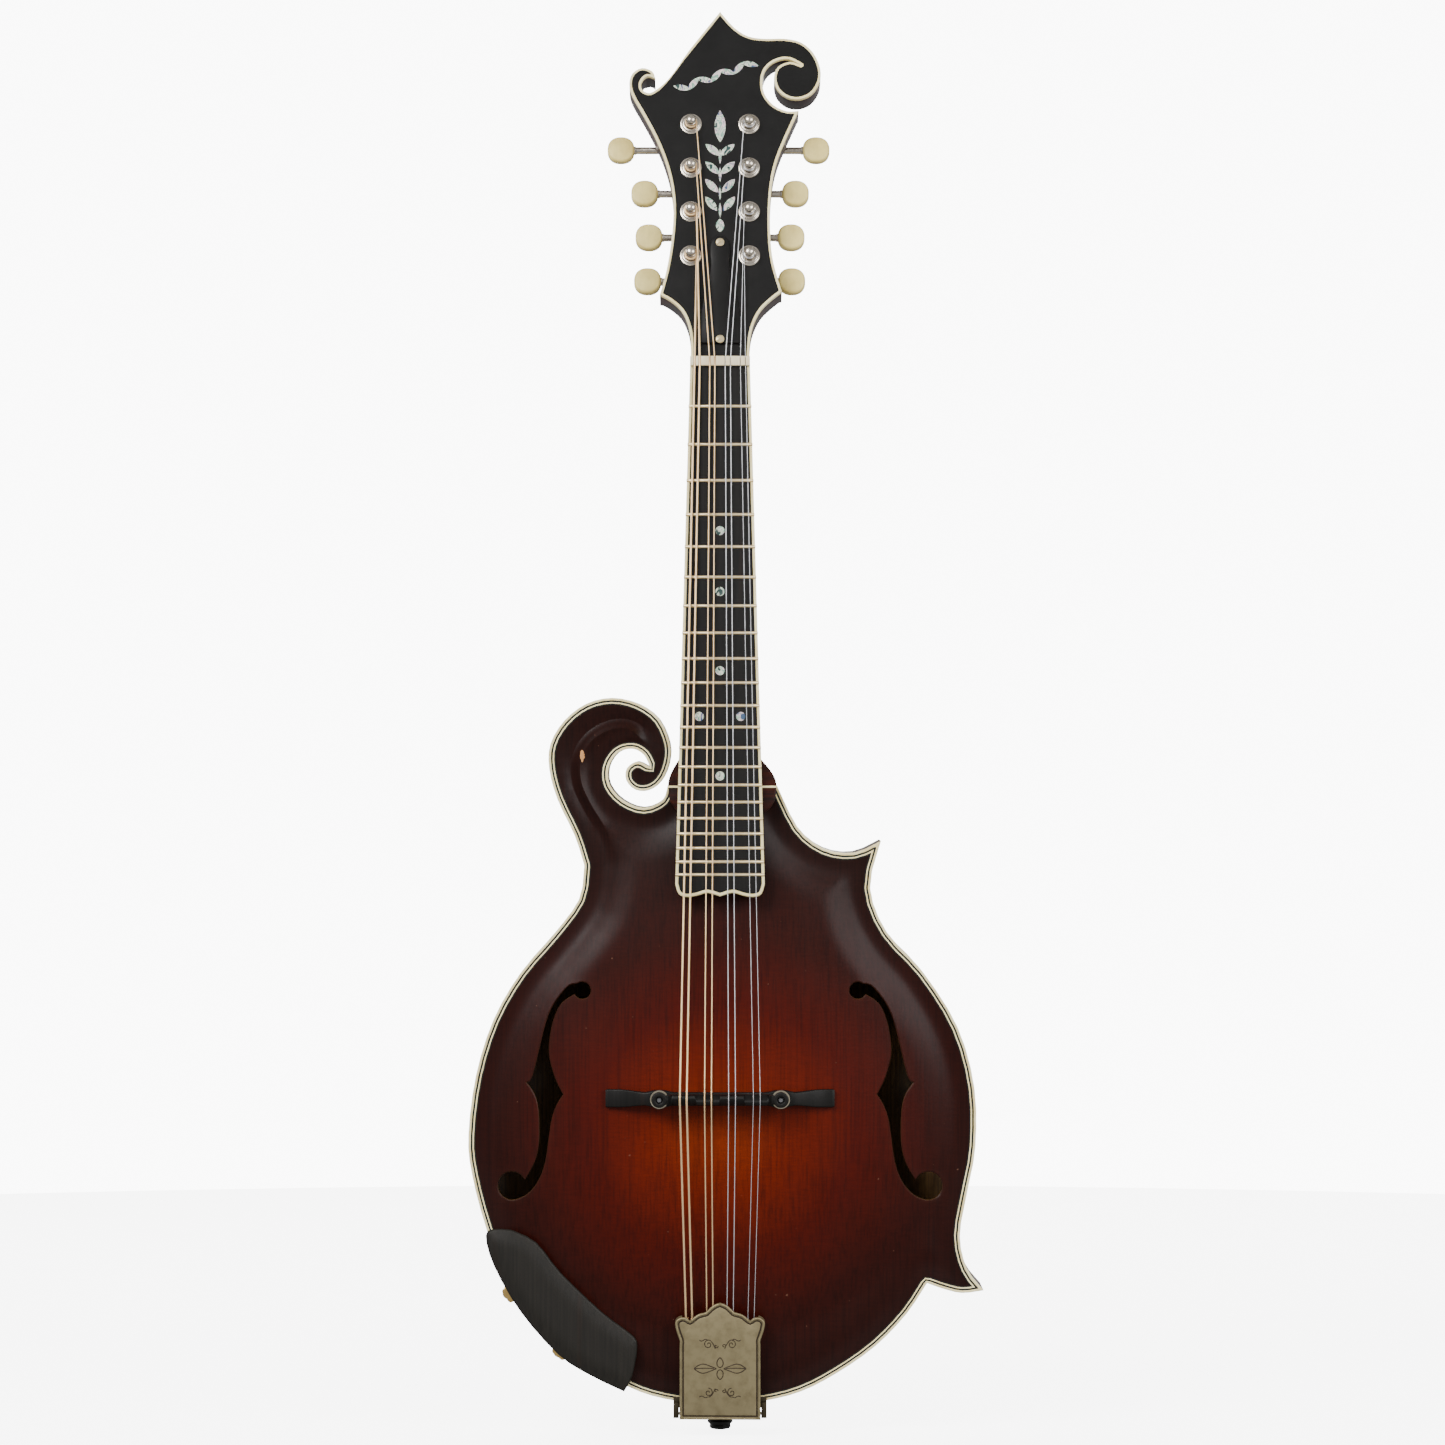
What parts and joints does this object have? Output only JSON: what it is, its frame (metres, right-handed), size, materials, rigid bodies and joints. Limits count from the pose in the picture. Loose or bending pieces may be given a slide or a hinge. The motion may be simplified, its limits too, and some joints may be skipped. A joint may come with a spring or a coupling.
{
  "type": "mandolin",
  "caption": "F-style mandolin with a scroll body, f-holes, geared tuners, adjustable bridge, hinged tailpiece cover and clamp-on armrest.",
  "frame": {"origin": "in the middle of the end pin's head, on its axis", "axes": "+Z along the neck towards the headstock, face towards -Y, +X to the treble side"},
  "size_m": [0.2502, 0.1074, 0.6976],
  "materials": {
    "spruce_sunburst": "satin lacquer",
    "maple_dark": "satin lacquer",
    "inner_wood": "bare",
    "ebony": "satin",
    "headplate_black": "satin lacquer",
    "ivory_binding": "satin",
    "pearl": "polished",
    "nickel": "aged",
    "tailpiece_nickel": "satin, aged",
    "gold_plate": "polished",
    "button_ivory": "satin",
    "bronze_wire": "wound",
    "steel_wire": "polished",
    "rod_steel": "plain"
  },
  "bodies": {
    "instrument": {"top_plate": "spruce_sunburst", "back_plate": "maple_dark", "rim": "maple_dark", "body_binding": "ivory_binding", "head_block": "inner_wood", "rim_blocks": "inner_wood", "linings": "inner_wood", "tone_bars": "inner_wood", "neck": "maple_dark", "truss_rod": "rod_steel", "fretboard": "ebony", "fretboard_binding": "ivory_binding", "frets": "nickel", "fret_markers": "pearl", "fretboard_support": "maple_dark", "nut": "ivory_binding", "headplate": "headplate_black", "headstock_binding": "ivory_binding", "headstock_inlay": "pearl", "truss_rod_cover": "headplate_black", "screws": "nickel", "tuner_plates": "nickel", "tuner_bushings": "nickel", "strings_wound": "bronze_wire", "strings_plain": "steel_wire", "bridge_base": "ebony", "bridge_studs": "gold_plate", "tailpiece_base": "tailpiece_nickel", "tailpiece_hinge_pin": "nickel", "end_pin": "ebony", "armrest": "ebony", "armrest_clamps": "gold_plate"},
    "bridge_saddle": {"bridge_saddle": "ebony"},
    "bridge_wheel_bass": {"bridge_wheel_bass": "gold_plate"},
    "bridge_wheel_treble": {"bridge_wheel_treble": "gold_plate"},
    "tailpiece_cover": {"tailpiece_cover": "tailpiece_nickel"},
    "tuner_shaft_1": {"tuner_worm_1": "nickel", "tuner_button_1": "button_ivory"},
    "tuner_post_1": {"tuner_post_1": "nickel"},
    "tuner_shaft_2": {"tuner_worm_2": "nickel", "tuner_button_2": "button_ivory"},
    "tuner_post_2": {"tuner_post_2": "nickel"},
    "tuner_shaft_3": {"tuner_worm_3": "nickel", "tuner_button_3": "button_ivory"},
    "tuner_post_3": {"tuner_post_3": "nickel"},
    "tuner_shaft_4": {"tuner_worm_4": "nickel", "tuner_button_4": "button_ivory"},
    "tuner_post_4": {"tuner_post_4": "nickel"},
    "tuner_shaft_5": {"tuner_worm_5": "nickel", "tuner_button_5": "button_ivory"},
    "tuner_post_5": {"tuner_post_5": "nickel"},
    "tuner_shaft_6": {"tuner_worm_6": "nickel", "tuner_button_6": "button_ivory"},
    "tuner_post_6": {"tuner_post_6": "nickel"},
    "tuner_shaft_7": {"tuner_worm_7": "nickel", "tuner_button_7": "button_ivory"},
    "tuner_post_7": {"tuner_post_7": "nickel"},
    "tuner_shaft_8": {"tuner_worm_8": "nickel", "tuner_button_8": "button_ivory"},
    "tuner_post_8": {"tuner_post_8": "nickel"}
  },
  "joints": [
    {"name": "saddle_slide", "type": "slide", "parent": "instrument", "child": "bridge_saddle", "axis": [0, -1, 0], "range_m": [-0.0015, 0]},
    {"name": "bridge_wheel_bass_spin", "type": "hinge", "parent": "bridge_saddle", "child": "bridge_wheel_bass", "pos_m": [-0.0293, -0.0438, 0.15985], "axis": [0, -1, 0], "range_deg": [-1080, 0]},
    {"name": "bridge_wheel_treble_spin", "type": "hinge", "parent": "bridge_saddle", "child": "bridge_wheel_treble", "pos_m": [0.0293, -0.0438, 0.15985], "axis": [0, -1, 0], "range_deg": [-1080, 0]},
    {"name": "tailpiece_cover_hinge", "type": "hinge", "parent": "instrument", "child": "tailpiece_cover", "pos_m": [0, -0.02514, 0.00652], "axis": [1, 0, 0], "range_deg": [0, 80]},
    {"name": "tuner_button_1_spin", "type": "hinge", "parent": "instrument", "child": "tuner_shaft_1", "pos_m": [-0.02, 0.03749, 0.62463], "axis": [-1, 0, 0], "continuous": true},
    {"name": "tuner_post_1_spin", "type": "hinge", "parent": "instrument", "child": "tuner_post_1", "pos_m": [-0.0143, 0.02308, 0.63546], "axis": [0, -0.9537, 0.3007], "continuous": true},
    {"name": "tuner_button_2_spin", "type": "hinge", "parent": "instrument", "child": "tuner_shaft_2", "pos_m": [-0.02, 0.03052, 0.6025], "axis": [-1, 0, 0], "continuous": true},
    {"name": "tuner_post_2_spin", "type": "hinge", "parent": "instrument", "child": "tuner_post_2", "pos_m": [-0.0143, 0.01611, 0.61334], "axis": [0, -0.9537, 0.3007], "continuous": true},
    {"name": "tuner_button_3_spin", "type": "hinge", "parent": "instrument", "child": "tuner_shaft_3", "pos_m": [-0.02, 0.02354, 0.58038], "axis": [-1, 0, 0], "continuous": true},
    {"name": "tuner_post_3_spin", "type": "hinge", "parent": "instrument", "child": "tuner_post_3", "pos_m": [-0.0143, 0.00913, 0.59121], "axis": [0, -0.9537, 0.3007], "continuous": true},
    {"name": "tuner_button_4_spin", "type": "hinge", "parent": "instrument", "child": "tuner_shaft_4", "pos_m": [-0.02, 0.01656, 0.55825], "axis": [-1, 0, 0], "continuous": true},
    {"name": "tuner_post_4_spin", "type": "hinge", "parent": "instrument", "child": "tuner_post_4", "pos_m": [-0.0143, 0.00215, 0.56909], "axis": [0, -0.9537, 0.3007], "continuous": true},
    {"name": "tuner_button_5_spin", "type": "hinge", "parent": "instrument", "child": "tuner_shaft_5", "pos_m": [0.02, 0.03749, 0.62463], "axis": [1, 0, 0], "continuous": true},
    {"name": "tuner_post_5_spin", "type": "hinge", "parent": "instrument", "child": "tuner_post_5", "pos_m": [0.0143, 0.02308, 0.63546], "axis": [0, -0.9537, 0.3007], "continuous": true},
    {"name": "tuner_button_6_spin", "type": "hinge", "parent": "instrument", "child": "tuner_shaft_6", "pos_m": [0.02, 0.03052, 0.6025], "axis": [1, 0, 0], "continuous": true},
    {"name": "tuner_post_6_spin", "type": "hinge", "parent": "instrument", "child": "tuner_post_6", "pos_m": [0.0143, 0.01611, 0.61334], "axis": [0, -0.9537, 0.3007], "continuous": true},
    {"name": "tuner_button_7_spin", "type": "hinge", "parent": "instrument", "child": "tuner_shaft_7", "pos_m": [0.02, 0.02354, 0.58038], "axis": [1, 0, 0], "continuous": true},
    {"name": "tuner_post_7_spin", "type": "hinge", "parent": "instrument", "child": "tuner_post_7", "pos_m": [0.0143, 0.00913, 0.59121], "axis": [0, -0.9537, 0.3007], "continuous": true},
    {"name": "tuner_button_8_spin", "type": "hinge", "parent": "instrument", "child": "tuner_shaft_8", "pos_m": [0.02, 0.01656, 0.55825], "axis": [1, 0, 0], "continuous": true},
    {"name": "tuner_post_8_spin", "type": "hinge", "parent": "instrument", "child": "tuner_post_8", "pos_m": [0.0143, 0.00215, 0.56909], "axis": [0, -0.9537, 0.3007], "continuous": true}
  ],
  "couplings": [
    {"joint": "bridge_wheel_bass_spin", "follows": "saddle_slide", "rad_per_m": 12566},
    {"joint": "bridge_wheel_treble_spin", "follows": "saddle_slide", "rad_per_m": 12566},
    {"joint": "tuner_post_1_spin", "follows": "tuner_button_1_spin", "ratio": -0.071429},
    {"joint": "tuner_post_2_spin", "follows": "tuner_button_2_spin", "ratio": -0.071429},
    {"joint": "tuner_post_3_spin", "follows": "tuner_button_3_spin", "ratio": -0.071429},
    {"joint": "tuner_post_4_spin", "follows": "tuner_button_4_spin", "ratio": -0.071429},
    {"joint": "tuner_post_5_spin", "follows": "tuner_button_5_spin", "ratio": 0.071429},
    {"joint": "tuner_post_6_spin", "follows": "tuner_button_6_spin", "ratio": 0.071429},
    {"joint": "tuner_post_7_spin", "follows": "tuner_button_7_spin", "ratio": 0.071429},
    {"joint": "tuner_post_8_spin", "follows": "tuner_button_8_spin", "ratio": 0.071429}
  ]
}
